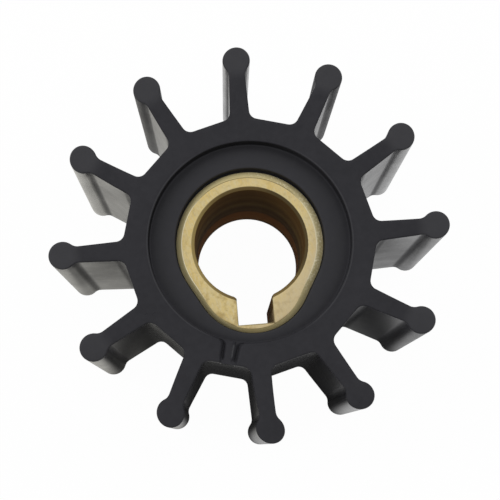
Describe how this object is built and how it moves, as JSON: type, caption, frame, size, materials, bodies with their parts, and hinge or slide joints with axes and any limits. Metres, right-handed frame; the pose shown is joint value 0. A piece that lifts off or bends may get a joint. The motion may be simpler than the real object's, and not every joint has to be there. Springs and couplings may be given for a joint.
{
  "type": "pump impeller",
  "caption": "Flexible rubber pump impeller: straight bead-tipped vanes round a hub bonded to a keyed brass bush.",
  "frame": {"origin": "centre of the lower end of the impeller, on the shaft axis", "axes": "+Z along the shaft towards the end seen in the picture, key slot towards -Y"},
  "size_m": [0.0572, 0.0572, 0.0318],
  "materials": {
    "rubber": "satin moulded rubber",
    "brass": "turned and broached, slightly dull"
  },
  "bodies": {
    "root": {"rubber_body": "rubber", "keyed_insert": "brass"}
  },
  "joints": []
}
